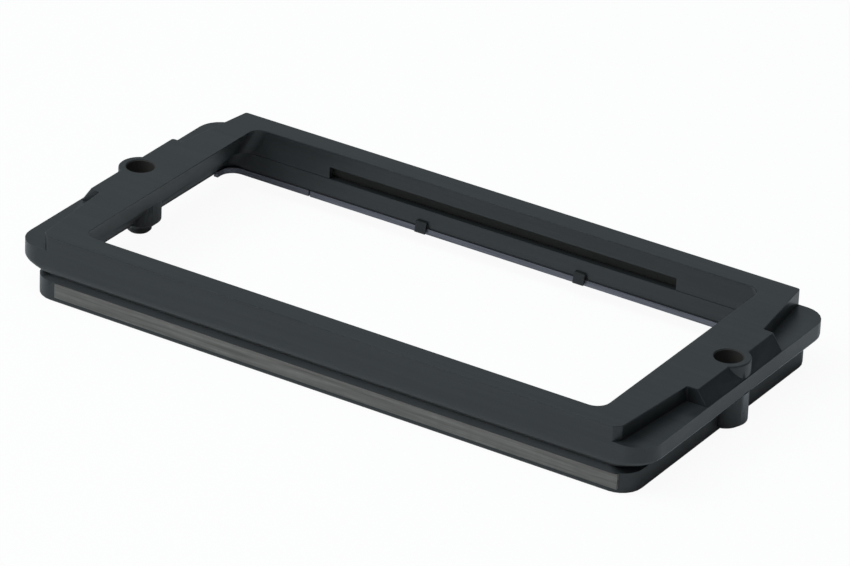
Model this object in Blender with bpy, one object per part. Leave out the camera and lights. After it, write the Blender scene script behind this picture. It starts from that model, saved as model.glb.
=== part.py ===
"""Two-part film carrier for a 6 x 12 cm negative, whose upper frame lifts off a lower one on two pins.

Units are metres, +Z is up, X runs along the long side of the window and -Y is the front.
The origin is under the middle of the window, on the plane that the carrier stands on.
"""
import math

import bmesh
import bpy
from mathutils import Vector

MM = 0.001

# Window, the opening that the light goes through
WINDOW_LENGTH = 112 * MM
WINDOW_WIDTH = 57 * MM
WINDOW_CORNER = 2.6 * MM
END_WALL_SLOPE = 30.0

# Upper frame: a raised ring on a flange plate, whose skirt reaches down round the lower frame
SIDE_BAR = 4.6 * MM
RING_HEIGHT = 3.0 * MM
RING_FRONT_CORNER = 6.4 * MM
RING_REAR_CORNER = 5.5 * MM
RING_WAIST_BAR = 8.0 * MM
RING_CORNER_CUT = 1.3 * MM
FLANGE_REACH = 12.5 * MM
FLANGE_THICKNESS = 2.5 * MM
FLANGE_REAR_STEP = 0.5 * MM
FLANGE_CORNER = 5.0 * MM
SKIRT_HEIGHT = 2.6 * MM
SKIRT_WIDTH = 2.4 * MM
SKIRT_END_WIDTH = 5.0 * MM
UNDERCUT_HEIGHT = 2.2 * MM
UNDERCUT_SIDE = 1.1 * MM
UNDERCUT_END = 4.4 * MM
REAR_SLOT_LENGTH = 77 * MM
REAR_SLOT_SHIFT = -0.5 * MM
REAR_SLOT_HEIGHT = 2.2 * MM
REAR_SLOT_DEPTH = 1.5 * MM

# End blocks, which carry the pin bosses
BLOCK_REACH = 10.2 * MM
BLOCK_FOOT_STEP = 0.2 * MM
BLOCK_FRONT = 12.1 * MM
BLOCK_REAR = 15.0 * MM

# Guide pins and the bosses that they stand in
PIN_REACH = 8.2 * MM
LEFT_PIN_Y = 1.4 * MM
RIGHT_PIN_Y = 2.2 * MM
PIN_RADIUS = 2.4 * MM
PIN_CLEARANCE = 0.3 * MM
PIN_BELOW_TOP = 3.4 * MM
PIN_TIP_BEVEL = 0.4 * MM
LEFT_PIN_END = 0.0 * MM
RIGHT_PIN_END = 0.1 * MM
BOSS_WALL = 1.5 * MM
BOSS_END_WALL = 0.4 * MM
BOSS_SEAT_DROP = 0.1 * MM
BORE_CHAMFER = 0.2 * MM
LEFT_CONE_TOP = 2.6 * MM
LEFT_CONE_END = 1.6 * MM
RIGHT_CONE_TOP = 1.0 * MM
RIGHT_CONE_END = 0.2 * MM

# Lower frame: a land inside the skirt, and below it a lip with a sloping top
PARTING_GAP = 0.3 * MM
GROOVE_HEIGHT = 0.3 * MM
LIP_HEIGHT = 5.0 * MM
LIP_END_INSET = 3.4 * MM
LIP_SIDE_INSET = 0.4 * MM
LIP_CORNER = 4.5 * MM
LIP_SLOPE_HEIGHT = 0.9 * MM
LIP_SLOPE_END = 1.6 * MM
LIP_SLOPE_SIDE = 0.7 * MM
LIP_LOWER_ROUND = 0.4 * MM
LOWER_WALL_STEP = 0.1 * MM
LOWER_END_STEP = 0.6 * MM
UNDERSIDE_RECESS = 3.9 * MM
LEFT_RELIEF_FRONT = -27 * MM
LEFT_RELIEF_HEIGHT = 2.8 * MM
REAR_RELIEF_RIGHT = 58.5 * MM
REAR_RELIEF_HEIGHT = 2.4 * MM
FOOT_WIDTH = 3.2 * MM
FOOT_END_WIDTH = 1.7 * MM

# Pale strip along the front of the lip
STRIP_LENGTH = 121.4 * MM
STRIP_SHIFT = 1.5 * MM
STRIP_HEIGHT = 2.4 * MM
STRIP_THICKNESS = 0.8 * MM
STRIP_ABOVE_FLOOR = 1.2 * MM
STRIP_PROUD = 0.1 * MM

# Bright rails under the inner walls, and the keepers on the walls in front of them
RAIL_THICKNESS = 0.9 * MM
RAIL_OVERHANG = 0.3 * MM
RAIL_TAIL = 1.0 * MM
RAIL_BREAK = 43.2 * MM
KEEPER_SPACING = 35.2 * MM
KEEPER_WIDTH = 2.4 * MM
KEEPER_FOOT_THICKNESS = 0.4 * MM
KEEPER_TOP_THICKNESS = 0.2 * MM
KEEPER_FOOT_RISE = 0.2 * MM
KEEPER_HEIGHT = 2.2 * MM

# Small rounds on the moulded edges
RING_TOP_ROUND = 0.12 * MM
RING_FILLET = 0.4 * MM
WINDOW_TOP_ROUND = 0.2 * MM
BOSS_TOP_ROUND = 0.3 * MM

# Gap between pieces that touch, and the overshoot of a cutter past the face that it cuts
FIT_GAP = 0.3 * MM
OVERSHOOT = 1.0 * MM
CORNER_STEPS = 6
ROUND_STEPS = 40
EDGE_STEPS = 3
UNDERCUT_STEPS = 8
FILLET_STEPS = 2

# Heights, built up from the floor
SKIRT_Z = LIP_HEIGHT + GROOVE_HEIGHT
UNDERCUT_Z = SKIRT_Z + UNDERCUT_HEIGHT
BOSS_SEAT_Z = UNDERCUT_Z - BOSS_SEAT_DROP
LOWER_BOSS_Z = BOSS_SEAT_Z - PARTING_GAP
PARTING_Z = SKIRT_Z + SKIRT_HEIGHT
LOWER_TOP_Z = PARTING_Z - PARTING_GAP
SHELF_Z = PARTING_Z + FLANGE_THICKNESS
TOP_Z = SHELF_Z + RING_HEIGHT

# Half sizes in plan, built out from the window
WINDOW_X = WINDOW_LENGTH / 2
WINDOW_Y = WINDOW_WIDTH / 2
BODY_Y = WINDOW_Y + SIDE_BAR
FLANGE_X = WINDOW_X + FLANGE_REACH
LIP_X = FLANGE_X - LIP_END_INSET
LIP_Y = BODY_Y - LIP_SIDE_INSET
PIN_X = WINDOW_X + PIN_REACH
BORE_RADIUS = PIN_RADIUS + PIN_CLEARANCE
BOSS_RADIUS = BORE_RADIUS + BOSS_WALL
LOWER_WALL_Y = WINDOW_Y - LOWER_WALL_STEP
FOOT_X = LIP_X - LIP_LOWER_ROUND - FOOT_END_WIDTH
FOOT_Y = LIP_Y - LIP_LOWER_ROUND - FOOT_WIDTH
STRIP_LEFT = STRIP_SHIFT - STRIP_LENGTH / 2
STRIP_RIGHT = STRIP_SHIFT + STRIP_LENGTH / 2
STRIP_FRONT_Y = -(LIP_Y + STRIP_PROUD)
STRIP_BACK_Y = STRIP_FRONT_Y + STRIP_THICKNESS
RAIL_TOP_Z = UNDERSIDE_RECESS - FIT_GAP


def clear_scene():
    """Removes whatever the open file holds."""
    for old in list(bpy.data.objects):
        bpy.data.objects.remove(old, do_unlink=True)


def make_material(name, colour, roughness, metallic=0.0):
    """A plain Principled material."""
    material = bpy.data.materials.new(name)
    material.use_nodes = True
    shader = material.node_tree.nodes["Principled BSDF"]
    shader.inputs["Base Color"].default_value = (*colour, 1.0)
    shader.inputs["Roughness"].default_value = roughness
    shader.inputs["Metallic"].default_value = metallic
    return material


def end_wall_x(height):
    """Half length of the window at a height: its end walls slope outwards on their way down."""
    return WINDOW_X + (TOP_Z - height) * math.tan(math.radians(END_WALL_SLOPE))


def arc(centre_x, centre_y, radius, start):
    """Points of a quarter circle that starts at an angle in degrees and turns anticlockwise."""
    points = []
    for step in range(CORNER_STEPS + 1):
        angle = math.radians(start + 90.0 * step / CORNER_STEPS)
        points.append((centre_x + radius * math.cos(angle), centre_y + radius * math.sin(angle)))
    return points


def rounded_outline(half_x, front_y, rear_y, radius):
    """A rectangle with round corners, anticlockwise from above."""
    right = half_x - radius
    front = front_y + radius
    rear = rear_y - radius
    return (arc(right, front, radius, -90.0) + arc(right, rear, radius, 0.0)
            + arc(-right, rear, radius, 90.0) + arc(-right, front, radius, 180.0))


def circle_outline(centre_x, centre_y, radius):
    """A circle as a regular polygon, anticlockwise from above."""
    points = []
    for step in range(ROUND_STEPS):
        angle = 2.0 * math.pi * step / ROUND_STEPS
        points.append((centre_x + radius * math.cos(angle), centre_y + radius * math.sin(angle)))
    return points


def inset_outline(points, inset):
    """Moves every side of an anticlockwise outline inwards and joins the sides again at the corners."""
    moved = []
    for index, point in enumerate(points):
        before = Vector(point) - Vector(points[index - 1])
        after = Vector(points[(index + 1) % len(points)]) - Vector(point)
        bisector = Vector((-before.y, before.x)).normalized() + Vector((-after.y, after.x)).normalized()
        corner = Vector(point) + bisector * (2.0 * inset / bisector.length_squared)
        moved.append((corner.x, corner.y))
    return moved


def fillet_outline(points, radius):
    """Rounds every corner of an outline, the inner ones and the outer ones alike."""
    rounded = []
    for index, point in enumerate(points):
        corner = Vector(point)
        back = (Vector(points[index - 1]) - corner).normalized()
        ahead = (Vector(points[(index + 1) % len(points)]) - corner).normalized()
        half_angle = back.angle(ahead) / 2.0
        centre = corner + (back + ahead).normalized() * (radius / math.sin(half_angle))
        start = corner + back * (radius / math.tan(half_angle)) - centre
        end = corner + ahead * (radius / math.tan(half_angle)) - centre
        for step in range(FILLET_STEPS + 1):
            spoke = centre + start.lerp(end, step / FILLET_STEPS).normalized() * radius
            rounded.append((spoke.x, spoke.y))
    return rounded


def edge_round(radius):
    """A quarter round as (inset, distance from the flat face) pairs, from the side to the flat face."""
    steps = []
    for step in range(EDGE_STEPS + 1):
        angle = math.radians(90.0 * step / EDGE_STEPS)
        steps.append((radius * (1.0 - math.cos(angle)), radius * (1.0 - math.sin(angle))))
    return steps


def lower_edge(bottom, plan, radius):
    """Levels of a rounded lower edge; plan(inset) gives the outline."""
    return [(bottom + rise, plan(inset)) for inset, rise in reversed(edge_round(radius))]


def upper_edge(top, plan, radius):
    """Levels of a rounded upper edge; plan(inset) gives the outline."""
    return [(top - drop, plan(inset)) for inset, drop in edge_round(radius)]


def new_object(name, mesh, material=None):
    """Links a mesh into the scene as a named object."""
    item = bpy.data.objects.new(name, mesh)
    bpy.context.scene.collection.objects.link(item)
    if material is not None:
        mesh.materials.append(material)
    return item


def loft(name, levels, material=None):
    """A closed solid through outlines with equal point counts, as (height, outline) from the bottom up."""
    solid = bmesh.new()
    rings = []
    for height, outline in levels:
        rings.append([solid.verts.new((x, y, height)) for x, y in outline])
    for lower, upper in zip(rings, rings[1:]):
        for index in range(len(lower)):
            follow = (index + 1) % len(lower)
            solid.faces.new((lower[index], lower[follow], upper[follow], upper[index]))
    solid.faces.new(list(reversed(rings[0])))
    solid.faces.new(rings[-1])
    bmesh.ops.recalc_face_normals(solid, faces=solid.faces)
    mesh = bpy.data.meshes.new(name)
    solid.to_mesh(mesh)
    solid.free()
    return new_object(name, mesh, material)


def box(name, low, high, material=None):
    """A block between two corners."""
    outline = [(low[0], low[1]), (high[0], low[1]), (high[0], high[1]), (low[0], high[1])]
    return loft(name, [(low[2], outline), (high[2], outline)], material)


def combine(target, tool, operation):
    """Joins a tool shape to a piece, or cuts it out, and hides the tool."""
    step = target.modifiers.new(f"{operation.lower()} {tool.name}", "BOOLEAN")
    step.operation = operation
    step.solver = "EXACT"
    step.object = tool
    tool.hide_render = True
    tool.display_type = "WIRE"


def soften(piece, angle=35.0):
    """Shades a round piece smooth between its sharp edges."""
    piece.data.shade_smooth()
    piece.data.set_sharp_from_angle(angle=math.radians(angle))


def flange_outline(end_inset, side_inset):
    """Plan of the flange, drawn in by one inset at its ends and another along its sides."""
    front = side_inset - BODY_Y
    rear = BODY_Y - FLANGE_REAR_STEP - side_inset
    return rounded_outline(FLANGE_X - end_inset, front, rear, FLANGE_CORNER - side_inset)


def undercut_levels():
    """Levels of the flange's lower edge: a wide sweep at the ends that turns into a round along the sides."""
    levels = []
    for step in range(UNDERCUT_STEPS, -1, -1):
        angle = math.radians(90.0 * step / UNDERCUT_STEPS)
        depth = math.sin(angle)
        height = UNDERCUT_Z - UNDERCUT_HEIGHT * depth
        end_inset = UNDERCUT_END * depth ** 2
        side_inset = UNDERCUT_SIDE * (1.0 - math.cos(angle))
        levels.append((height, flange_outline(end_inset, side_inset)))
    return levels


def lip_outline(end_inset, side_inset):
    """Plan of the lip, drawn in by one inset at its ends and another along its sides."""
    half_y = LIP_Y - side_inset
    return rounded_outline(LIP_X - end_inset, -half_y, half_y, LIP_CORNER - side_inset)


def lip_levels():
    """Levels of the lip: a round below, upright sides, and a slope above that is flatter at the ends."""
    def even_plan(inset):
        return lip_outline(inset, inset)
    levels = lower_edge(0.0, even_plan, LIP_LOWER_ROUND)
    levels.append((LIP_HEIGHT - LIP_SLOPE_HEIGHT, lip_outline(0.0, 0.0)))
    levels.append((LIP_HEIGHT, lip_outline(LIP_SLOPE_END, LIP_SLOPE_SIDE)))
    return levels


def ring_outline(height, inset):
    """Plan of the raised ring at a height. The outer faces of its two end blocks lean in on their way up."""
    front_corner = WINDOW_X + RING_FRONT_CORNER
    rear_corner = WINDOW_X + RING_REAR_CORNER
    waist = WINDOW_X + RING_WAIST_BAR
    block_foot = FLANGE_X - BLOCK_FOOT_STEP
    block_top = WINDOW_X + BLOCK_REACH
    block_x = block_foot + (block_top - block_foot) * (height - SHELF_Z) / RING_HEIGHT
    right = [
        (front_corner - RING_CORNER_CUT, -BODY_Y),
        (front_corner, RING_CORNER_CUT - BODY_Y),
        (waist, -BLOCK_FRONT),
        (block_x, -BLOCK_FRONT),
        (block_x, BLOCK_REAR),
        (waist, BLOCK_REAR),
        (rear_corner, BODY_Y),
    ]
    left = [(-x, y) for x, y in reversed(right)]
    return fillet_outline(inset_outline(right + left, inset), RING_FILLET)


def window_outline(height, widen):
    """Plan of the window at a height, widened all round."""
    half_x = end_wall_x(height) + widen
    half_y = WINDOW_Y + widen
    return rounded_outline(half_x, -half_y, half_y, WINDOW_CORNER + widen)


def boss_outline(side, radius):
    """Plan of a round feature on a pin's axis."""
    return circle_outline(side * PIN_X, RIGHT_PIN_Y if side > 0 else LEFT_PIN_Y, radius)


def make_upper_frame(material):
    """Flange plate, raised ring, end blocks and bosses in one moulding."""
    frame = loft("upper_frame", undercut_levels() + [(SHELF_Z, flange_outline(0.0, 0.0))], material)

    root = (PARTING_Z + SHELF_Z) / 2
    ring_levels = [(root, ring_outline(SHELF_Z, 0.0)), (SHELF_Z, ring_outline(SHELF_Z, 0.0))]
    for inset, drop in edge_round(RING_TOP_ROUND):
        ring_levels.append((TOP_Z - drop, ring_outline(TOP_Z - drop, inset)))
    combine(frame, loft("ring", ring_levels), "UNION")

    for side in (-1, 1):
        def boss_plan(inset, side=side):
            return boss_outline(side, BOSS_RADIUS - inset)
        boss_levels = [(root, boss_plan(0.0))] + upper_edge(TOP_Z, boss_plan, BOSS_TOP_ROUND)
        combine(frame, loft("upper_boss", boss_levels), "UNION")

    low = SKIRT_Z - OVERSHOOT
    high = TOP_Z + OVERSHOOT
    window_levels = [(low, window_outline(low, 0.0))]
    for widen, drop in edge_round(WINDOW_TOP_ROUND):
        window_levels.append((TOP_Z - drop, window_outline(TOP_Z - drop, widen)))
    window_levels.append((high, window_outline(TOP_Z, WINDOW_TOP_ROUND)))
    combine(frame, loft("upper_window", window_levels), "DIFFERENCE")

    seat = flange_outline(SKIRT_END_WIDTH, SKIRT_WIDTH)
    combine(frame, loft("seat", [(low, seat), (PARTING_Z, seat)]), "DIFFERENCE")

    for side in (-1, 1):
        boss_seat = boss_outline(side, BOSS_RADIUS + FIT_GAP)
        combine(frame, loft("boss_seat", [(low, boss_seat), (BOSS_SEAT_Z, boss_seat)]), "DIFFERENCE")
        bore = boss_outline(side, BORE_RADIUS)
        mouth = boss_outline(side, BORE_RADIUS + BORE_CHAMFER)
        bore_levels = [(low, bore), (TOP_Z - BORE_CHAMFER, bore), (TOP_Z, mouth), (high, mouth)]
        combine(frame, loft("upper_bore", bore_levels), "DIFFERENCE")

    half_slot = REAR_SLOT_LENGTH / 2
    slot_low = (REAR_SLOT_SHIFT - half_slot, WINDOW_Y - OVERSHOOT, PARTING_Z - OVERSHOOT)
    slot_high = (REAR_SLOT_SHIFT + half_slot, WINDOW_Y + REAR_SLOT_DEPTH, PARTING_Z + REAR_SLOT_HEIGHT)
    combine(frame, box("rear_slot", slot_low, slot_high), "DIFFERENCE")
    return frame


def make_lower_frame(material):
    """Land, lip, inner walls and lower bosses in one moulding."""
    land = flange_outline(SKIRT_END_WIDTH + FIT_GAP, SKIRT_WIDTH + FIT_GAP)
    levels = lip_levels() + [(LIP_HEIGHT, land), (LOWER_TOP_Z, land)]
    frame = loft("lower_frame", levels, material)

    wall_low = UNDERSIDE_RECESS - OVERSHOOT
    wall_high = LOWER_TOP_Z + OVERSHOOT
    wall_levels = []
    for height in (wall_low, wall_high):
        half_x = end_wall_x(height) + LOWER_END_STEP
        wall_levels.append((height, rounded_outline(half_x, -LOWER_WALL_Y, LOWER_WALL_Y, WINDOW_CORNER)))
    combine(frame, loft("lower_window", wall_levels), "DIFFERENCE")
    recess = rounded_outline(FOOT_X, -FOOT_Y, FOOT_Y, WINDOW_CORNER)
    recess_levels = [(-OVERSHOOT, recess), (UNDERSIDE_RECESS, recess)]
    combine(frame, loft("underside_recess", recess_levels), "DIFFERENCE")
    past_left = -(LIP_X + OVERSHOOT)
    past_rear = LIP_Y + OVERSHOOT
    relief_low = (past_left, LEFT_RELIEF_FRONT, -OVERSHOOT)
    relief_high = (-(FOOT_X - OVERSHOOT), past_rear, LEFT_RELIEF_HEIGHT)
    combine(frame, box("left_relief", relief_low, relief_high), "DIFFERENCE")
    relief_low = (past_left - OVERSHOOT, FOOT_Y - OVERSHOOT, -OVERSHOOT)
    relief_high = (REAR_RELIEF_RIGHT, past_rear + OVERSHOOT, REAR_RELIEF_HEIGHT)
    combine(frame, box("rear_relief", relief_low, relief_high), "DIFFERENCE")

    cones = ((-1, LEFT_CONE_TOP, LEFT_CONE_END), (1, RIGHT_CONE_TOP, RIGHT_CONE_END))
    for side, cone_top, cone_end in cones:
        wide = boss_outline(side, BOSS_RADIUS)
        narrow = boss_outline(side, BORE_RADIUS + BOSS_END_WALL)
        boss_levels = [(cone_end, narrow), (cone_top, wide), (LOWER_BOSS_Z, wide)]
        combine(frame, loft("lower_boss", boss_levels), "UNION")
        bore = boss_outline(side, BORE_RADIUS)
        combine(frame, loft("lower_bore", [(-OVERSHOOT, bore), (wall_high, bore)]), "DIFFERENCE")

    pocket_low = (STRIP_LEFT - FIT_GAP, -(BODY_Y + OVERSHOOT), STRIP_ABOVE_FLOOR - FIT_GAP)
    pocket_high = (STRIP_RIGHT + FIT_GAP, STRIP_BACK_Y + FIT_GAP, STRIP_ABOVE_FLOOR + STRIP_HEIGHT + FIT_GAP)
    combine(frame, box("strip_pocket", pocket_low, pocket_high), "DIFFERENCE")
    return frame


def make_guide_pin(name, side, end, material):
    """A straight pin with both tips bevelled, fixed in the lower boss and sliding in the upper one."""
    tip = boss_outline(side, PIN_RADIUS - PIN_TIP_BEVEL)
    shank = boss_outline(side, PIN_RADIUS)
    top = TOP_Z - PIN_BELOW_TOP
    levels = [
        (end, tip),
        (end + PIN_TIP_BEVEL, shank),
        (top - PIN_TIP_BEVEL, shank),
        (top, tip),
    ]
    soften(loft(name, levels, material))


def make_front_strip(material):
    """The pale flat strip that lies in a shallow pocket along the front of the lip."""
    low = (STRIP_LEFT, STRIP_FRONT_Y, STRIP_ABOVE_FLOOR)
    high = (STRIP_RIGHT, STRIP_BACK_Y, STRIP_ABOVE_FLOOR + STRIP_HEIGHT)
    box("front_edge_strip", low, high, material)


def make_rail(name, side_x, side_y, stop_x, material):
    """A thin rail round one corner of the window and along its long wall to stop_x."""
    outer_x = FOOT_X - FIT_GAP
    outer_y = FOOT_Y - FIT_GAP
    outer_round = WINDOW_CORNER - FIT_GAP
    inner_x = end_wall_x(UNDERSIDE_RECESS) + LOWER_END_STEP - RAIL_OVERHANG
    inner_y = LOWER_WALL_Y - RAIL_OVERHANG
    inner_round = WINDOW_CORNER + RAIL_OVERHANG
    tail_y = inner_y - inner_round - RAIL_TAIL
    outer = arc(outer_x - outer_round, outer_y - outer_round, outer_round, 0.0)
    inner = arc(inner_x - inner_round, inner_y - inner_round, inner_round, 0.0)
    corner = ([(outer_x, tail_y)] + outer + [(stop_x, outer_y), (stop_x, inner_y)]
              + inner[::-1] + [(inner_x, tail_y)])
    outline = [(side_x * x, side_y * y) for x, y in corner]
    loft(name, [(RAIL_TOP_Z - RAIL_THICKNESS, outline), (RAIL_TOP_Z, outline)], material)


def make_keeper(name, x, side_y, material):
    """A small wedge on the inner wall that stands in front of the rail's edge and keeps it in its recess."""
    wall_y = LOWER_WALL_Y - FIT_GAP
    edge_y = LOWER_WALL_Y - RAIL_OVERHANG - FIT_GAP
    foot_z = RAIL_TOP_Z - RAIL_THICKNESS + KEEPER_FOOT_RISE
    step_z = RAIL_TOP_Z + FIT_GAP
    top_z = foot_z + KEEPER_HEIGHT
    section = [
        (edge_y - KEEPER_FOOT_THICKNESS, foot_z),
        (edge_y, foot_z),
        (edge_y, step_z),
        (wall_y, step_z),
        (wall_y, top_z),
        (wall_y - KEEPER_TOP_THICKNESS, top_z),
    ]
    solid = bmesh.new()
    ends = []
    for end_x in (x - KEEPER_WIDTH / 2, x + KEEPER_WIDTH / 2):
        ends.append([solid.verts.new((end_x, side_y * y, z)) for y, z in section])
    for index in range(len(section)):
        follow = (index + 1) % len(section)
        solid.faces.new((ends[0][index], ends[0][follow], ends[1][follow], ends[1][index]))
    for end in ends:
        solid.faces.new(end)
    bmesh.ops.recalc_face_normals(solid, faces=solid.faces)
    mesh = bpy.data.meshes.new(name)
    solid.to_mesh(mesh)
    solid.free()
    new_object(name, mesh, material)


def main():
    """Builds every piece."""
    clear_scene()
    black_plastic = make_material("black_plastic", (0.021, 0.022, 0.024), 0.5)
    black_steel = make_material("black_steel", (0.016, 0.017, 0.018), 0.4, 0.6)
    grey_strip = make_material("grey_strip", (0.105, 0.100, 0.094), 0.6)
    bright_metal = make_material("bright_metal", (0.30, 0.30, 0.33), 0.4, 0.8)
    keeper_plastic = make_material("keeper_plastic", (0.030, 0.029, 0.030), 0.5)
    make_upper_frame(black_plastic)
    make_lower_frame(black_plastic)
    make_guide_pin("left_guide_pin", -1, LEFT_PIN_END, black_steel)
    make_guide_pin("right_guide_pin", 1, RIGHT_PIN_END, black_steel)
    make_front_strip(grey_strip)
    for row, side_y in (("rear", 1), ("front", -1)):
        make_rail(f"{row}_long_rail", 1, side_y, FIT_GAP / 2 - RAIL_BREAK, bright_metal)
        make_rail(f"{row}_corner_rail", -1, side_y, FIT_GAP / 2 + RAIL_BREAK, bright_metal)
        make_keeper(f"{row}_left_keeper", -KEEPER_SPACING / 2, side_y, keeper_plastic)
        make_keeper(f"{row}_right_keeper", KEEPER_SPACING / 2, side_y, keeper_plastic)


main()
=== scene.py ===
# %% [markdown]
# # A negative carrier for an enlarger
# The carrier is a black moulded frame with a long window. Film lies across the window, light falls through
# it from above, and an upper frame lifts off a lower frame on two pins. The solids are finished already, so
# this lesson only dresses them: it makes the surfaces that show, their materials, the light and the camera.
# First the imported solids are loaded, and the box that they fill is kept, because nothing made here may
# leave it.

# %% Load the solids
import math

import bmesh
import bpy
from mathutils import Matrix, Vector


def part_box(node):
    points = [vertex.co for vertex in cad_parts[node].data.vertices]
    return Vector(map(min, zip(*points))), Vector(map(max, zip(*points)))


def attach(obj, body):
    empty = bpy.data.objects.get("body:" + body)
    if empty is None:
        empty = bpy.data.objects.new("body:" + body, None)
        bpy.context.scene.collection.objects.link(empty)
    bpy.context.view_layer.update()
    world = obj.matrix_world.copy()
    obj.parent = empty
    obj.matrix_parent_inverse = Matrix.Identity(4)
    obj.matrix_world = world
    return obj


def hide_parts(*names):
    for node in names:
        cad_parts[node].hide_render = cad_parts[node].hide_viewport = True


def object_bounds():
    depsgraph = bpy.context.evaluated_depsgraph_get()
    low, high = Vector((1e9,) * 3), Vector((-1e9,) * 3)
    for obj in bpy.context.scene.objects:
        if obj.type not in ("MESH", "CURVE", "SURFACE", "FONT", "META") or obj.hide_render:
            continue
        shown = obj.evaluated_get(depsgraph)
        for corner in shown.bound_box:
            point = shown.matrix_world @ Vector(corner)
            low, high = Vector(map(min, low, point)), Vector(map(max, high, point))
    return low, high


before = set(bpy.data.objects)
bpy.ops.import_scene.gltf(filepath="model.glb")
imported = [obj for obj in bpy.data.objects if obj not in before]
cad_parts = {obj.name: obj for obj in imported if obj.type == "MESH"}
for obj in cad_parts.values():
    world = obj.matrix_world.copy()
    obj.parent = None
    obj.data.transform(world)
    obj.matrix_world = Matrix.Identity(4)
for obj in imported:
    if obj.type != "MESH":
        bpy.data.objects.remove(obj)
cad_low, cad_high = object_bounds()
MM = 0.001
scene = bpy.context.scene
scene.view_settings.view_transform = "Standard"
print("solids:", len(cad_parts), "box in mm:", [round(side / MM, 1) for side in cad_high - cad_low])

# %% [markdown]
# ## The camera
# The picture was taken from some way off with a long lens, so parallel edges stay nearly parallel. A camera
# can be aimed with a constraint, but here its three axes are worked out instead: the direction back towards
# the viewer comes from an azimuth and an elevation, and the other two axes follow from cross products. A
# small roll is added, because the carrier lies a little turned in the frame.

# %% Camera
PICTURE_WIDTH = 850
FOCAL_PIXELS = 6000
SENSOR_MM = 36
VIEW_AZIMUTH = math.radians(31.49)
VIEW_ELEVATION = math.radians(27.22)
VIEW_ROLL = math.radians(2.56)
VIEW_DISTANCE = 1.098
VIEW_TARGET = Vector((5.07 * MM, -6.72 * MM, 13.4 * MM))


def make_camera():
    """A long lens that looks down at the carrier from the front right."""
    flat = math.cos(VIEW_ELEVATION)
    back = Vector((math.sin(VIEW_AZIMUTH) * flat, -math.cos(VIEW_AZIMUTH) * flat, math.sin(VIEW_ELEVATION)))
    level_right = (-back).cross(Vector((0, 0, 1))).normalized()
    level_up = level_right.cross(-back)
    right = math.cos(VIEW_ROLL) * level_right + math.sin(VIEW_ROLL) * level_up
    up = math.cos(VIEW_ROLL) * level_up - math.sin(VIEW_ROLL) * level_right
    lens = bpy.data.cameras.new("long_lens")
    lens.sensor_width = SENSOR_MM
    lens.lens = FOCAL_PIXELS * SENSOR_MM / PICTURE_WIDTH
    camera = bpy.data.objects.new("camera", lens)
    scene.collection.objects.link(camera)
    turn = Matrix((right, up, back)).transposed().to_4x4()
    camera.matrix_world = Matrix.Translation(VIEW_TARGET + back * VIEW_DISTANCE) @ turn
    scene.camera = camera
    return camera


camera = make_camera()
print("lens in mm:", round(camera.data.lens, 1))

# %% [markdown]
# ## Floor and light
# A black satin object shows mostly what it reflects. Its upright sides mirror the floor and its flat tops
# mirror the room behind it, so the floor is pale and the room is a dimmer grey. The floor stays a real
# surface that takes a shadow. Most of what the camera sees of it is white glow, and a mirror sees a little
# of that glow too.

# %% Small helpers for node trees
def add_node(tree, kind, **settings):
    """A new node with some of its settings."""
    node = tree.nodes.new(kind)
    for name, value in settings.items():
        setattr(node, name, value)
    return node


def join(tree, output, target):
    """Links one socket to another."""
    tree.links.new(output, target)


def feed(tree, value, target):
    """Links a socket to another one, or sets it to a number."""
    if isinstance(value, (int, float)):
        target.default_value = value
    else:
        join(tree, value, target)


def math_node(tree, operation, first, second):
    """Arithmetic on two values, each a socket or a number."""
    node = add_node(tree, "ShaderNodeMath", operation=operation)
    feed(tree, first, node.inputs[0])
    feed(tree, second, node.inputs[1])
    return node.outputs[0]


# %% Floor
FLOOR_SIZE = 6.0
FLOOR_COLOUR = (0.79, 0.85, 0.88, 1.0)
FLOOR_GLOW_SHARE = 0.94
FLOOR_MIRRORED_SHARE = 0.04


def make_floor():
    """A pale floor that looks white and still takes a soft shadow."""
    grid = bmesh.new()
    bmesh.ops.create_grid(grid, x_segments=1, y_segments=1, size=FLOOR_SIZE / 2)
    mesh = bpy.data.meshes.new("floor")
    grid.to_mesh(mesh)
    grid.free()
    floor = bpy.data.objects.new("floor", mesh)
    scene.collection.objects.link(floor)
    material = bpy.data.materials.new("pale_floor")
    material.use_nodes = True
    tree = material.node_tree
    tree.nodes.clear()
    rays = add_node(tree, "ShaderNodeLightPath")
    in_camera = math_node(tree, "MULTIPLY", rays.outputs["Is Camera Ray"], FLOOR_GLOW_SHARE)
    mirrored = math_node(tree, "MAXIMUM", rays.outputs["Is Glossy Ray"], rays.outputs["Is Transmission Ray"])
    in_mirror = math_node(tree, "MULTIPLY", mirrored, FLOOR_MIRRORED_SHARE)
    share = math_node(tree, "MAXIMUM", in_camera, in_mirror)
    paint = add_node(tree, "ShaderNodeBsdfDiffuse")
    paint.inputs["Color"].default_value = FLOOR_COLOUR
    glow = add_node(tree, "ShaderNodeEmission")
    mix = add_node(tree, "ShaderNodeMixShader")
    join(tree, share, mix.inputs["Fac"])
    join(tree, paint.outputs[0], mix.inputs[1])
    join(tree, glow.outputs[0], mix.inputs[2])
    join(tree, mix.outputs[0], add_node(tree, "ShaderNodeOutputMaterial").inputs["Surface"])
    mesh.materials.append(material)


make_floor()
print("floor share that glows for the camera:", FLOOR_GLOW_SHARE)

# %% Room and lamps
BRIGHT_SIDE = (0.335, 0.383, 0.412, 1.0)
DARK_SIDE = (0.05, 0.06, 0.07, 1.0)
BRIGHT_UP_TO = -0.4
DARK_FROM = 0.5
WHITE = (1.0, 1.0, 1.0, 1.0)
LAMPS = {
    "front_left_softbox": {"place": (-0.80, -0.60, 1.10), "size": 0.9, "watts": 11.0},
    "overhead_softbox": {"place": (0.20, -0.30, 1.35), "size": 1.0, "watts": 7.0},
}


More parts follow.
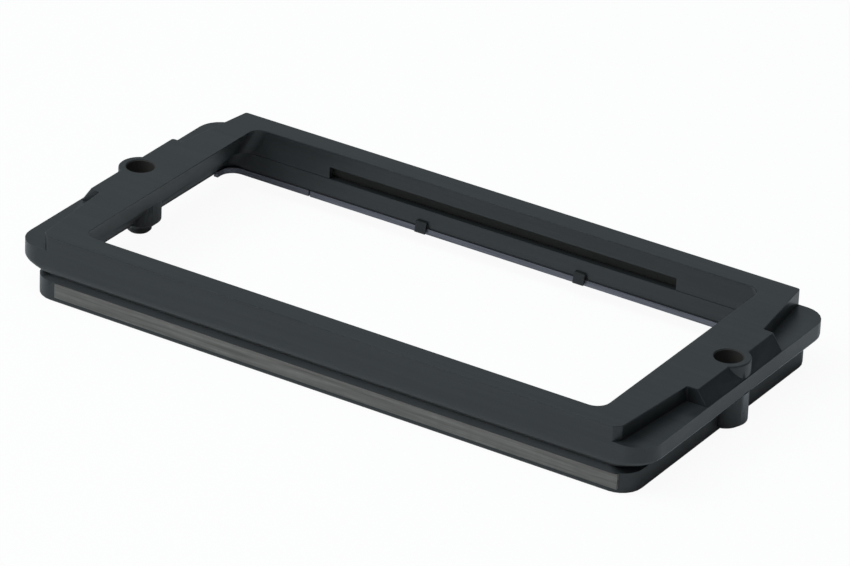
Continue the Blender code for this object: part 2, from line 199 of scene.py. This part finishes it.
def make_room():
    """A grey room, brighter on the left, that the camera sees as white."""
    world = bpy.data.worlds.new("grey_room")
    scene.world = world
    world.use_nodes = True
    tree = world.node_tree
    tree.nodes.clear()
    split = add_node(tree, "ShaderNodeSeparateXYZ")
    join(tree, add_node(tree, "ShaderNodeTexCoord").outputs["Generated"], split.inputs[0])
    to_right = add_node(tree, "ShaderNodeMapRange", clamp=True, interpolation_type="SMOOTHSTEP")
    join(tree, split.outputs["X"], to_right.inputs["Value"])
    to_right.inputs["From Min"].default_value = BRIGHT_UP_TO
    to_right.inputs["From Max"].default_value = DARK_FROM
    sides = add_node(tree, "ShaderNodeMix", data_type="RGBA")
    join(tree, to_right.outputs["Result"], sides.inputs["Factor"])
    sides.inputs["A"].default_value = BRIGHT_SIDE
    sides.inputs["B"].default_value = DARK_SIDE
    rays = add_node(tree, "ShaderNodeLightPath")
    shade = add_node(tree, "ShaderNodeMix", data_type="RGBA")
    join(tree, rays.outputs["Is Camera Ray"], shade.inputs["Factor"])
    join(tree, sides.outputs["Result"], shade.inputs["A"])
    shade.inputs["B"].default_value = WHITE
    background = add_node(tree, "ShaderNodeBackground")
    join(tree, shade.outputs["Result"], background.inputs["Color"])
    join(tree, background.outputs[0], add_node(tree, "ShaderNodeOutputWorld").inputs["Surface"])


def make_lamp(name, place, size, watts):
    """A square softbox that faces the carrier and doesn't glint in it."""
    data = bpy.data.lights.new(name, "AREA")
    data.shape = "SQUARE"
    data.size = size
    data.energy = watts
    lamp = bpy.data.objects.new(name, data)
    scene.collection.objects.link(lamp)
    lamp.location = place
    lamp.rotation_euler = Vector(place).to_track_quat("Z", "Y").to_euler()
    lamp.visible_camera = False
    lamp.visible_glossy = False


make_room()
for lamp_name, lamp_values in LAMPS.items():
    make_lamp(lamp_name, **lamp_values)
print("lamps:", list(LAMPS))

# %% [markdown]
# ## Surface effects that several finishes share
# A moulded surface is never one flat colour. It has a fine grain from the mould, slow patches of gloss
# where hands have polished it, marks along the direction it was wiped or pressed in, and a few specks of
# dust. Each effect is a node group with named inputs, so every finish can use it at its own scale. The
# groups read the piece's own coordinates in metres, which keeps a pattern at its real size and in place
# when the part is lifted.

# %% Node group helpers
def new_group(name, inputs, outputs):
    """A shader group with named sockets; returns the tree, its input node and its output node."""
    tree = bpy.data.node_groups.new(name, "ShaderNodeTree")
    for label, kind, value in inputs:
        socket = tree.interface.new_socket(name=label, in_out="INPUT", socket_type=kind)
        if value is not None:
            socket.default_value = value
    for label, kind in outputs:
        tree.interface.new_socket(name=label, in_out="OUTPUT", socket_type=kind)
    return tree, tree.nodes.new("NodeGroupInput"), tree.nodes.new("NodeGroupOutput")


def noise_node(tree, vector, scale, detail, roughness=0.5):
    """Smooth noise; scale is a socket or a number."""
    node = add_node(tree, "ShaderNodeTexNoise")
    node.inputs["Detail"].default_value = detail
    node.inputs["Roughness"].default_value = roughness
    join(tree, vector, node.inputs["Vector"])
    feed(tree, scale, node.inputs["Scale"])
    return node.outputs["Fac"]


def spread_node(tree, value, low, high, new_low=0.0, new_high=1.0):
    """Stretches a value's range and clamps it."""
    node = add_node(tree, "ShaderNodeMapRange", clamp=True)
    join(tree, value, node.inputs["Value"])
    node.inputs["From Min"].default_value = low
    node.inputs["From Max"].default_value = high
    node.inputs["To Min"].default_value = new_low
    node.inputs["To Max"].default_value = new_high
    return node.outputs["Result"]


FLOAT = "NodeSocketFloat"
VECTOR = "NodeSocketVector"

# %% Moulded grain
PATCH_SPREAD = (0.3, 0.7)


def make_grain_group():
    """Fine grain as a height, and slow patches as a value."""
    tree, given, out = new_group(
        "moulded_grain",
        [("Position", VECTOR, None), ("Grain Scale", FLOAT, 3000.0), ("Patch Scale", FLOAT, 60.0)],
        [("Height", FLOAT), ("Patches", FLOAT)],
    )
    place = given.outputs["Position"]
    fine = noise_node(tree, place, given.outputs["Grain Scale"], detail=2.0)
    slow = noise_node(tree, place, given.outputs["Patch Scale"], detail=3.0, roughness=0.6)
    join(tree, fine, out.inputs["Height"])
    join(tree, spread_node(tree, slow, *PATCH_SPREAD), out.inputs["Patches"])
    return tree


grain_group = make_grain_group()
print("group:", grain_group.name)

# %% Streaks along one direction
NOISE_MIDDLE = 0.5


def make_streak_group():
    """Lengthwise streaks: noise that is squeezed across the streaks and drawn out along them."""
    tree, given, out = new_group(
        "long_streaks",
        [("Position", VECTOR, None), ("Squeeze", VECTOR, (30.0, 1500.0, 1500.0)), ("Contrast", FLOAT, 0.2)],
        [("Streaks", FLOAT)],
    )
    squeeze = add_node(tree, "ShaderNodeVectorMath", operation="MULTIPLY")
    join(tree, given.outputs["Position"], squeeze.inputs[0])
    join(tree, given.outputs["Squeeze"], squeeze.inputs[1])
    lines = noise_node(tree, squeeze.outputs[0], scale=1.0, detail=4.0, roughness=0.65)
    spread = add_node(tree, "ShaderNodeMapRange", clamp=True)
    join(tree, lines, spread.inputs["Value"])
    contrast = given.outputs["Contrast"]
    join(tree, math_node(tree, "SUBTRACT", NOISE_MIDDLE, contrast), spread.inputs["From Min"])
    join(tree, math_node(tree, "ADD", NOISE_MIDDLE, contrast), spread.inputs["From Max"])
    join(tree, spread.outputs["Result"], out.inputs["Streaks"])
    return tree


streak_group = make_streak_group()
print("group:", streak_group.name)

# %% Dust specks
def make_dust_group():
    """Small round specks in a few of the cells of a cell pattern."""
    tree, given, out = new_group(
        "dust_specks",
        [("Position", VECTOR, None), ("Cell Scale", FLOAT, 300.0),
         ("Amount", FLOAT, 0.05), ("Size", FLOAT, 0.08)],
        [("Dust", FLOAT)],
    )
    cells = add_node(tree, "ShaderNodeTexVoronoi")
    join(tree, given.outputs["Position"], cells.inputs["Vector"])
    join(tree, given.outputs["Cell Scale"], cells.inputs["Scale"])
    split = add_node(tree, "ShaderNodeSeparateColor")
    join(tree, cells.outputs["Color"], split.inputs[0])
    chosen = math_node(tree, "LESS_THAN", split.outputs[0], given.outputs["Amount"])
    near = math_node(tree, "LESS_THAN", cells.outputs["Distance"], given.outputs["Size"])
    join(tree, math_node(tree, "MULTIPLY", chosen, near), out.inputs["Dust"])
    return tree


dust_group = make_dust_group()
print("group:", dust_group.name)

# %% [markdown]
# ## Finishes
# The frames are satin black plastic with a cold tint. The strip along the front is a dull, warm grey with
# fine streaks along its length. The rails are a grey metal edge, the pins are blackened steel, and the
# keepers a softer black. Every finish mixes two tones of one colour with the shared effects, and leaves
# what is the same all over on the shader's own sockets.

# %% Finish helpers
def start_finish(name):
    """A new material; returns it with its tree, its Principled shader and a position in metres."""
    material = bpy.data.materials.new(name)
    material.use_nodes = True
    tree = material.node_tree
    shader = tree.nodes["Principled BSDF"]
    position = add_node(tree, "ShaderNodeTexCoord").outputs["Object"]
    return material, tree, shader, position


def place_group(tree, group, position, **values):
    """Places an effect in a material; the values are its inputs with spaces written as underscores."""
    node = add_node(tree, "ShaderNodeGroup", node_tree=group)
    join(tree, position, node.inputs["Position"])
    for name, value in values.items():
        node.inputs[name.replace("_", " ")].default_value = value
    return node


def mix_colours(tree, share, first, second):
    """Mixes two colours, each a socket or a tuple, by a share."""
    node = add_node(tree, "ShaderNodeMix", data_type="RGBA")
    join(tree, share, node.inputs["Factor"])
    for label, colour in (("A", first), ("B", second)):
        if isinstance(colour, tuple):
            node.inputs[label].default_value = (*colour, 1.0)
        else:
            join(tree, colour, node.inputs[label])
    return node.outputs["Result"]


def add_bump(tree, shader, height, strength, depth):
    """A bump from a height."""
    bump = add_node(tree, "ShaderNodeBump")
    bump.inputs["Strength"].default_value = strength
    bump.inputs["Distance"].default_value = depth
    join(tree, height, bump.inputs["Height"])
    join(tree, bump.outputs["Normal"], shader.inputs["Normal"])


# %% Satin black plastic
BLACK_TONES = ((0.0120, 0.0150, 0.0160), (0.0165, 0.0195, 0.0205))
BLACK_STREAK = (0.034, 0.038, 0.041)
# Pale tone: faint wear and a painted highlight on the rounds, a painted floor reflection on the ends' lower
# edges.
BLACK_WEAR_AND_REFLECTION = (0.220, 0.244, 0.270)
# Paler colour painted into shaded recesses as light that lifts their shade.
RECESS_LIGHT_TONE = (0.045, 0.043, 0.039)
SPECK = (0.30, 0.30, 0.30)
STREAK_STRENGTH = 0.35
WEAR_AND_REFLECTION_SPREAD = (0.4, 1.0)
BLACK_ROUGHNESS = (0.32, 0.42)
RECESS_DULLS = 0.5
WEAR_POLISHES = 0.25
GRAIN_STRENGTH = 0.25
FINE_DEPTH = 0.02 * MM


def make_satin_black():
    """The moulding: cold black with polished patches and specks, rounds with faint wear and a painted
    highlight, a painted floor reflection on the ends' lower edges, and painted light in its shaded recesses.
    """
    material, tree, shader, position = start_finish("satin_black")
    grain = place_group(tree, grain_group, position, Grain_Scale=3200.0, Patch_Scale=55.0)
    streaks = place_group(tree, streak_group, position, Squeeze=(25.0, 900.0, 900.0), Contrast=0.22)
    dust = place_group(tree, dust_group, position, Cell_Scale=150.0, Amount=0.10, Size=0.025)
    edge = add_node(tree, "ShaderNodeAttribute", attribute_name="wear_and_painted_reflection").outputs["Fac"]
    recess_light = add_node(tree, "ShaderNodeAttribute", attribute_name="painted_recess_light").outputs["Fac"]
    patches = grain.outputs["Patches"]
    colour = mix_colours(tree, patches, *BLACK_TONES)
    streak_share = math_node(tree, "MULTIPLY", streaks.outputs["Streaks"], STREAK_STRENGTH)
    colour = mix_colours(tree, streak_share, colour, BLACK_STREAK)
    wear_and_reflection = math_node(tree, "MULTIPLY", edge, spread_node(tree, patches, 0.0, 1.0, *WEAR_AND_REFLECTION_SPREAD))
    # Painted highlight on the rounds and painted reflection of the floor on the ends' lower edges, mixed
    # with faint wear.
    colour = mix_colours(tree, wear_and_reflection, colour, BLACK_WEAR_AND_REFLECTION)
    # Painted light: a paler colour in the slot, the bores, the groove and the lip's top lifts their shade.
    colour = mix_colours(tree, recess_light, colour, RECESS_LIGHT_TONE)
    colour = mix_colours(tree, dust.outputs["Dust"], colour, SPECK)
    join(tree, colour, shader.inputs["Base Color"])
    rough = spread_node(tree, patches, 0.0, 1.0, *BLACK_ROUGHNESS)
    rough = math_node(tree, "ADD", rough, math_node(tree, "MULTIPLY", recess_light, RECESS_DULLS))
    rough = math_node(tree, "SUBTRACT", rough, math_node(tree, "MULTIPLY", edge, WEAR_POLISHES))
    join(tree, rough, shader.inputs["Roughness"])
    add_bump(tree, shader, grain.outputs["Height"], GRAIN_STRENGTH, FINE_DEPTH)
    return material


satin_black = make_satin_black()
print("finish:", satin_black.name)

# %% Grey strip
STRIP_TONES = ((0.078, 0.074, 0.067), (0.215, 0.207, 0.192))
STRIP_PATCH = (0.118, 0.113, 0.104)
STRIP_PATCH_STRENGTH = 0.5
STRIP_ROUGHNESS = (0.70, 0.55)
STRIP_STREAK_STRENGTH = 0.3
STRIP_STREAK_DEPTH = 0.03 * MM


def make_strip_grey():
    """The strip: warm grey with streaks along its length."""
    material, tree, shader, position = start_finish("strip_grey")
    streaks = place_group(tree, streak_group, position, Squeeze=(40.0, 1400.0, 1400.0), Contrast=0.2)
    grain = place_group(tree, grain_group, position, Grain_Scale=4000.0, Patch_Scale=450.0)
    lines = streaks.outputs["Streaks"]
    colour = mix_colours(tree, lines, *STRIP_TONES)
    patch_share = math_node(tree, "MULTIPLY", grain.outputs["Patches"], STRIP_PATCH_STRENGTH)
    colour = mix_colours(tree, patch_share, colour, STRIP_PATCH)
    join(tree, colour, shader.inputs["Base Color"])
    join(tree, spread_node(tree, lines, 0.0, 1.0, *STRIP_ROUGHNESS), shader.inputs["Roughness"])
    add_bump(tree, shader, lines, STRIP_STREAK_STRENGTH, STRIP_STREAK_DEPTH)
    return material


strip_grey = make_strip_grey()
print("finish:", strip_grey.name)

# %% Rail metal and pin steel
METAL_STREAK_CONTRAST = 0.25
METAL_STREAK_STRENGTH = 0.2
METALS = {
    "rail_metal": {
        "squeeze": (60.0, 1800.0, 1800.0),
        "tones": ((0.11, 0.11, 0.13), (0.20, 0.20, 0.23)),
        "roughness": (0.5, 0.35),
        "metallic": 0.8,
    },
    "pin_steel": {
        "squeeze": (200.0, 200.0, 6000.0),
        "tones": ((0.040, 0.040, 0.038), (0.075, 0.075, 0.072)),
        "roughness": (0.45, 0.3),
        "metallic": 0.6,
    },
}


def make_metal(name, squeeze, tones, roughness, metallic):
    """A dull metal: rubbed along its length for the rails, and turned for the blackened pins."""
    material, tree, shader, position = start_finish(name)
    streaks = place_group(tree, streak_group, position, Squeeze=squeeze, Contrast=METAL_STREAK_CONTRAST)
    lines = streaks.outputs["Streaks"]
    join(tree, mix_colours(tree, lines, *tones), shader.inputs["Base Color"])
    join(tree, spread_node(tree, lines, 0.0, 1.0, *roughness), shader.inputs["Roughness"])
    shader.inputs["Metallic"].default_value = metallic
    add_bump(tree, shader, lines, METAL_STREAK_STRENGTH, FINE_DEPTH)
    return material


metals = {name: make_metal(name, **values) for name, values in METALS.items()}
print("finishes:", list(metals))

# %% Keeper black
KEEPER_TONES = ((0.014, 0.016, 0.017), (0.022, 0.024, 0.025))
KEEPER_ROUGHNESS = (0.45, 0.6)


def make_keeper_black():
    """The keepers: a plain dull black with a mould grain."""
    material, tree, shader, position = start_finish("keeper_black")
    grain = place_group(tree, grain_group, position, Grain_Scale=4000.0, Patch_Scale=300.0)
    patches = grain.outputs["Patches"]
    join(tree, mix_colours(tree, patches, *KEEPER_TONES), shader.inputs["Base Color"])
    join(tree, spread_node(tree, patches, 0.0, 1.0, *KEEPER_ROUGHNESS), shader.inputs["Roughness"])
    add_bump(tree, shader, grain.outputs["Height"], GRAIN_STRENGTH, FINE_DEPTH)
    return material


keeper_black = make_keeper_black()
print("finish:", keeper_black.name)

# %% [markdown]
# ## The two frames
# The frames are mouldings with flat faces and small rounds. Their solids come as loose flat triangles,
# which would show every facet. A copy has its points merged and its flat triangles dissolved into whole
# faces. It is then shaded smooth except at sharp corners, and a Weighted Normal modifier makes the large
# faces decide the shading, so that flats stay flat and only the rounds are soft. The points in the middle
# of a round get a low value that the finish reads as faint wear, which is also a painted highlight.
# The lower edges of the two ends get the full value, a pale line painted there as the floor's reflection.

# %% Skin helpers
MERGE_DISTANCE = 0.002 * MM
FLAT_ANGLE = math.radians(0.6)
SHARP_ANGLE = math.radians(40.0)
ROUND_ANGLE = math.radians(22.0)
ROUND_WEAR_AND_HIGHLIGHT = 0.06
NORMAL_WEIGHT = 80
REFLECTION_EDGE_REACH = 0.3 * MM
REFLECTION_EDGE_HEIGHTS = (6.9 * MM, 7.3 * MM)


def link_piece(name, mesh, body, nodes):
    """Links a finished mesh as a piece that rides on a body and stands for solids."""
    piece = bpy.data.objects.new(name, mesh)
    scene.collection.objects.link(piece)
    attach(piece, body)
    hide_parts(*nodes)


def shade_by_angle(shape):
    """Shades every face smooth and every sharp corner hard."""
    shape.normal_update()
    for face in shape.faces:
        face.smooth = True
    for edge in shape.edges:
        edge.smooth = edge.calc_face_angle(0.0) < SHARP_ANGLE


def mark_wear_and_reflection(shape):
    """Marks the points inside a rounded edge a little, as wear and a painted highlight, and the lower edges
    of the two ends fully, as a painted reflection.
    """
    layer = shape.verts.layers.float.new("wear_and_painted_reflection")
    reach = cad_high.x - REFLECTION_EDGE_REACH
    for vert in shape.verts:
        angles = [edge.calc_face_angle(0.0) for edge in vert.link_edges]
        vert[layer] = ROUND_WEAR_AND_HIGHLIGHT * any(ROUND_ANGLE < angle < SHARP_ANGLE for angle in angles)
        # The lower edges of the two ends get a pale painted reflection of the floor at full strength.
        if reach < abs(vert.co.x) and REFLECTION_EDGE_HEIGHTS[0] < vert.co.z < REFLECTION_EDGE_HEIGHTS[1]:
            vert[layer] = 1.0


def skin_of(node, name):
    """A clean, softly shaded copy of a solid's mesh."""
    shape = bmesh.new()
    shape.from_mesh(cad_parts[node].data)
    bmesh.ops.remove_doubles(shape, verts=shape.verts, dist=MERGE_DISTANCE)
    bmesh.ops.dissolve_limit(shape, angle_limit=FLAT_ANGLE, verts=shape.verts, edges=shape.edges)
    shade_by_angle(shape)
    mark_wear_and_reflection(shape)
    mesh = bpy.data.meshes.new(name)
    shape.to_mesh(mesh)
    shape.free()
    return mesh


def finished_mesh(holder, name):
    """The mesh that an object's modifiers make; the object itself is removed."""
    graph = bpy.context.evaluated_depsgraph_get()
    shown = holder.evaluated_get(graph)
    mesh = bpy.data.meshes.new_from_object(shown, preserve_all_data_layers=True, depsgraph=graph)
    mesh.name = name
    bpy.data.objects.remove(holder)
    return mesh


def weighted(mesh, finish):
    """The mesh in its finish, with its normals weighted by face area."""
    holder = bpy.data.objects.new("holder", mesh)
    scene.collection.objects.link(holder)
    weigh = holder.modifiers.new("weigh", "WEIGHTED_NORMAL")
    weigh.keep_sharp = True
    weigh.weight = NORMAL_WEIGHT
    result = finished_mesh(holder, mesh.name)
    result.materials.append(finish)
    return result


# %% [markdown]
# The solids are drawn with a gap of 0.3 mm wherever two pieces meet, so that none of them bind. On the real
# carrier the upper frame rests on the lower one and the seam is a hairline. The two faces of the upper
# frame that look down on the lower one are therefore let down here until only a hairline is left. The long
# slot of the rear wall, the bores and the groove above the lip lie in shade, and the top of the lip a
# little.
# Those points get a value of their own, which paints a paler colour there as light that lifts the shade.

# %% Seams and painted light in the recesses
PINS = ("left_guide_pin", "right_guide_pin")
JOINT_GAP = 0.30 * MM
HAIRLINE = 0.04 * MM
TINY = 0.02 * MM
SLOT_LENGTH = 80 * MM
SLOT_BACK = (29.5 * MM, 30.1 * MM)
SLOT_LIGHT = 1.0
BORE_LIGHT = 0.8
BORE_REACH = 0.06 * MM
LIP_LIGHT = 0.1
GROOVE_LIGHT = 0.9
GROOVE_REACH = 0.8 * MM


def close_seams(mesh):
    """Lets the upper frame's skirt and seat down to a hairline above the lower frame."""
    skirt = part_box("upper_frame")[0][2]
    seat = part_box("lower_frame")[1][2] + JOINT_GAP
    moved = 0
    for vert in mesh.vertices:
        if min(abs(vert.co.z - skirt), abs(vert.co.z - seat)) < TINY:
            vert.co.z -= JOINT_GAP - HAIRLINE
            moved += 1
    return moved


def paint_recess_light(mesh):
    """Marks the back of the rear slot, the bores, the groove above the lip and, faintly, the lip, for
    painted light in their shade.
    """
    layer = mesh.attributes.new("painted_recess_light", "FLOAT", "POINT")
    lip_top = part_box("upper_frame")[0][2] - JOINT_GAP
    slot_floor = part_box("lower_frame")[1][2]
    pins = [(Vector(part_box(node)[0]) + Vector(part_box(node)[1])) / 2 for node in PINS]
    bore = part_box(PINS[0])[1][0] - pins[0].x + JOINT_GAP
    # Each value sets how much paler colour is painted in as light that lifts the shade there.
    for vert, value in zip(mesh.vertices, layer.data):
        in_slot = SLOT_BACK[0] < vert.co.y < SLOT_BACK[1] and abs(vert.co.x) < SLOT_LENGTH / 2
        in_bore = any(abs((vert.co - pin).xy.length - bore) < BORE_REACH for pin in pins)
        above_lip = vert.co.z - lip_top
        if in_slot and vert.co.z > slot_floor:
            value.value = SLOT_LIGHT
        elif in_bore:
            value.value = BORE_LIGHT
        elif abs(above_lip) < TINY:
            value.value = LIP_LIGHT
        elif 0.0 < above_lip < GROOVE_REACH:
            value.value = GROOVE_LIGHT * (1.0 - above_lip / GROOVE_REACH)


# %% Frames
for node, body in (("upper_frame", "upper"), ("lower_frame", "lower")):
    skin = skin_of(node, f"{node}_moulding")
    if node == "upper_frame":
        moved = close_seams(skin)
        print("points let down to the seam:", moved)
    paint_recess_light(skin)
    skin = weighted(skin, satin_black)
    link_piece(f"{node}_moulding", skin, body, [node])
    print(node, "faces:", len(skin.polygons))

# %% [markdown]
# ## Pins
# Each pin is a turned steel rod with a bevel at both ends. It sits deep in its boss, so only its end shows
# in the hole. A softly shaded copy of the solid is enough, since a turned piece has no more shape than its
# profile.

# %% Guide pins
for node in PINS:
    skin = weighted(skin_of(node, f"{node}_turned"), metals["pin_steel"])
    link_piece(f"{node}_turned", skin, "lower", [node])
    print(node, "faces:", len(skin.polygons))

# %% [markdown]
# ## Shapes that follow a rule
# A strip is one section drawn along a line, and the four keepers are one wedge that is set down four times.
# Both are made with Geometry Nodes, whose named inputs are measured from the solids, so that the shapes
# follow the part if it is ever resized. A helper makes the tree's sockets, and another one runs the tree
# and keeps the finished mesh.

# %% Geometry Nodes helpers
SOFT_SEGMENTS = 2


def new_shape(name, inputs):
    """A geometry tree with a geometry socket on each side and named number inputs."""
    tree = bpy.data.node_groups.new(name, "GeometryNodeTree")
    tree.interface.new_socket(name="Geometry", in_out="OUTPUT", socket_type="NodeSocketGeometry")
    tree.interface.new_socket(name="Geometry", in_out="INPUT", socket_type="NodeSocketGeometry")
    for label in inputs:
        tree.interface.new_socket(name=label, in_out="INPUT", socket_type=FLOAT)
    return tree, tree.nodes.new("NodeGroupInput"), tree.nodes.new("NodeGroupOutput")


def end_shape(tree, geometry, out, material):
    """Ends a geometry tree: makes every instance real and gives it its finish."""
    real = add_node(tree, "GeometryNodeRealizeInstances")
    join(tree, geometry, real.inputs["Geometry"])
    finish = add_node(tree, "GeometryNodeSetMaterial")
    finish.inputs["Material"].default_value = material
    join(tree, real.outputs["Geometry"], finish.inputs["Geometry"])
    join(tree, finish.outputs["Geometry"], out.inputs["Geometry"])


def vector_node(tree, x=0.0, y=0.0, z=0.0):
    """A vector from three values, each a socket or a number."""
    node = add_node(tree, "ShaderNodeCombineXYZ")
    for value, target in zip((x, y, z), node.inputs):
        feed(tree, value, target)
    return node.outputs[0]


def grow(name, tree, values, start=None, soft=0.0):
    """Runs a geometry tree with named values and returns its mesh, with the edges softened if asked."""
    holder = bpy.data.objects.new("holder", start or bpy.data.meshes.new("nothing"))
    scene.collection.objects.link(holder)
    modifier = holder.modifiers.new("grow", "NODES")
    modifier.node_group = tree
    for socket in tree.interface.items_tree:
        if socket.name in values:
            modifier[socket.identifier] = values[socket.name]
    if soft:
        bevel = holder.modifiers.new("soften", "BEVEL")
        bevel.width = soft
        bevel.segments = SOFT_SEGMENTS
        bevel.limit_method = "ANGLE"
        bevel.harden_normals = True
    return finished_mesh(holder, name)


# %% [markdown]
# ## The pale strip
# The strip is a thin, flat band that lies in a pocket along the front of the lip. It was cut from sheet, so
# its section is a rectangle with barely broken edges. A rectangle is filleted and swept along a straight
# line with closed ends. The line keeps its normal level, so that the rectangle's first side is the strip's
# thickness and its second side is the height. The strip is made to fill its pocket up to a hairline, as a
# glued strip does.

# %% Strip
STRIP_EDGE = 0.12 * MM
STRIP_EDGE_STEPS = 3


def make_strip_shape(material):
    """A rounded rectangle swept along X."""
    tree, given, out = new_shape("swept_strip", ("Length", "Height", "Thickness", "Edge Round"))
    half = math_node(tree, "MULTIPLY", given.outputs["Length"], 0.5)
    line = add_node(tree, "GeometryNodeCurvePrimitiveLine")
    join(tree, vector_node(tree, x=math_node(tree, "MULTIPLY", half, -1.0)), line.inputs["Start"])
    join(tree, vector_node(tree, x=half), line.inputs["End"])
    level = add_node(tree, "GeometryNodeSetCurveNormal", mode="Z_UP")
    join(tree, line.outputs["Curve"], level.inputs["Curve"])
    section = add_node(tree, "GeometryNodeCurvePrimitiveQuadrilateral")
    join(tree, given.outputs["Thickness"], section.inputs["Width"])
    join(tree, given.outputs["Height"], section.inputs["Height"])
    rounded = add_node(tree, "GeometryNodeFilletCurve", mode="POLY")
    join(tree, section.outputs["Curve"], rounded.inputs["Curve"])
    join(tree, given.outputs["Edge Round"], rounded.inputs["Radius"])
    rounded.inputs["Count"].default_value = STRIP_EDGE_STEPS
    sweep = add_node(tree, "GeometryNodeCurveToMesh")
    join(tree, level.outputs["Curve"], sweep.inputs["Curve"])
    join(tree, rounded.outputs["Curve"], sweep.inputs["Profile Curve"])
    sweep.inputs["Fill Caps"].default_value = True
    end_shape(tree, sweep.outputs["Mesh"], out, material)
    return tree


low, high = (Vector(corner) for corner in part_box("front_edge_strip"))
fill = JOINT_GAP - HAIRLINE
low -= Vector((fill, 0.0, fill))
high += Vector((fill, fill, fill))
size = high - low
strip = grow("front_strip", make_strip_shape(strip_grey),
             {"Length": size.x, "Height": size.z, "Thickness": size.y, "Edge Round": STRIP_EDGE})
strip.transform(Matrix.Translation((low + high) / 2))
strip.shade_smooth()
strip.set_sharp_from_angle(angle=SHARP_ANGLE)
link_piece("front_strip", strip, "lower", ["front_edge_strip"])
print("strip in mm:", [round(side / MM, 2) for side in size])

# %% [markdown]
# ## The keepers
# A keeper is a low wedge on the inner wall with a notch that hooks over the rail. All four are the same
# piece, turned round for the front wall. Its section is a small face with the notch in it. The tree pushes
# that face out to the keeper's width and closes the other end with a flipped copy. Then it sets the wedge
# on the four corners of a grid, which is as long as the keepers are apart and as deep as the two walls are
# apart.

# %% Keeper section
KEEPER_NOTCH_SHARE = 0.43
KEEPER_TOP_SHARE = 0.29


def keeper_section(box_low, box_high, rail_top):
    """The wedge's section as a face at X = 0, drawn out to the wall but for a hairline."""
    foot = box_low.y - box_high.y
    notch = foot * KEEPER_NOTCH_SHARE
    step = rail_top + JOINT_GAP
    top = foot * KEEPER_TOP_SHARE
    wall = JOINT_GAP - HAIRLINE
    corners = (
        (foot, box_low.z),
        (notch, box_low.z),
        (notch, step),
        (wall, step),
        (wall, box_high.z),
        (top, box_high.z),
    )
    mesh = bpy.data.meshes.new("keeper_section")
    mesh.from_pydata([(0.0, y, z) for y, z in corners], [], [tuple(range(len(corners)))])
    return mesh


# %% Keepers
KEEPER_EDGE = 0.08 * MM


def make_keeper_shape(material):
    """A face pushed out along X, closed, and set down on the corners of a grid."""
    tree, given, out = new_shape("set_keepers", ("Width", "Spacing", "Row Distance"))
    half = math_node(tree, "MULTIPLY", given.outputs["Width"], 0.5)
    centred = add_node(tree, "GeometryNodeTransform")
    join(tree, given.outputs["Geometry"], centred.inputs["Geometry"])
    join(tree, vector_node(tree, x=math_node(tree, "MULTIPLY", half, -1.0)), centred.inputs["Translation"])
    push = add_node(tree, "GeometryNodeExtrudeMesh", mode="FACES")
    join(tree, centred.outputs["Geometry"], push.inputs["Mesh"])
    join(tree, vector_node(tree, x=1.0), push.inputs["Offset"])
    join(tree, given.outputs["Width"], push.inputs["Offset Scale"])
    flip = add_node(tree, "GeometryNodeFlipFaces")
    join(tree, centred.outputs["Geometry"], flip.inputs["Mesh"])
    both = add_node(tree, "GeometryNodeJoinGeometry")
    join(tree, push.outputs["Mesh"], both.inputs["Geometry"])
    join(tree, flip.outputs["Mesh"], both.inputs["Geometry"])
    closed = add_node(tree, "GeometryNodeMergeByDistance")
    join(tree, both.outputs["Geometry"], closed.inputs["Geometry"])
    closed.inputs["Distance"].default_value = MERGE_DISTANCE
    grid = add_node(tree, "GeometryNodeMeshGrid")
    join(tree, given.outputs["Spacing"], grid.inputs["Size X"])
    join(tree, given.outputs["Row Distance"], grid.inputs["Size Y"])
    grid.inputs["Vertices X"].default_value = 2
    grid.inputs["Vertices Y"].default_value = 2
    split = add_node(tree, "ShaderNodeSeparateXYZ")
    join(tree, add_node(tree, "GeometryNodeInputPosition").outputs[0], split.inputs[0])
    at_front = math_node(tree, "LESS_THAN", split.outputs["Y"], 0.0)
    turn = add_node(tree, "FunctionNodeEulerToRotation")
    join(tree, vector_node(tree, z=math_node(tree, "MULTIPLY", at_front, math.pi)), turn.inputs[0])
    set_down = add_node(tree, "GeometryNodeInstanceOnPoints")
    join(tree, grid.outputs["Mesh"], set_down.inputs["Points"])
    join(tree, closed.outputs["Geometry"], set_down.inputs["Instance"])
    join(tree, turn.outputs[0], set_down.inputs["Rotation"])
    end_shape(tree, set_down.outputs["Instances"], out, material)
    return tree


KEEPERS = ("rear_left_keeper", "rear_right_keeper", "front_left_keeper", "front_right_keeper")
low, high = (Vector(corner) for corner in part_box("rear_left_keeper"))
spacing = Vector(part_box("rear_right_keeper")[0]).x - low.x
rail_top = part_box("rear_long_rail")[1][2]
keepers = grow("keepers", make_keeper_shape(keeper_black),
               {"Width": high.x - low.x, "Spacing": spacing, "Row Distance": 2.0 * high.y},
               start=keeper_section(low, high, rail_top), soft=KEEPER_EDGE)
link_piece("keepers", keepers, "lower", KEEPERS)
print("keepers, faces:", len(keepers.polygons), "apart in mm:", round(spacing / MM, 1))

# %% [markdown]
# ## The rails
# The rails are thin metal edgings that run round the corners of the window, under the inner walls. They are
# wider along the walls than round the ends, so a sweep wouldn't fit them, and copies of the solids are
# used. Their upper faces are raised until they touch the recess that they lie in, but for a hairline.

# %% Rails
for node in ("rear_long_rail", "rear_corner_rail", "front_long_rail", "front_corner_rail"):
    skin = skin_of(node, f"{node}_edging")
    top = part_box(node)[1][2]
    for vert in skin.vertices:
        if abs(vert.co.z - top) < TINY:
            vert.co.z += JOINT_GAP - HAIRLINE
    skin = weighted(skin, metals["rail_metal"])
    link_piece(f"{node}_edging", skin, "lower", [node])
    print(node, "faces:", len(skin.polygons))
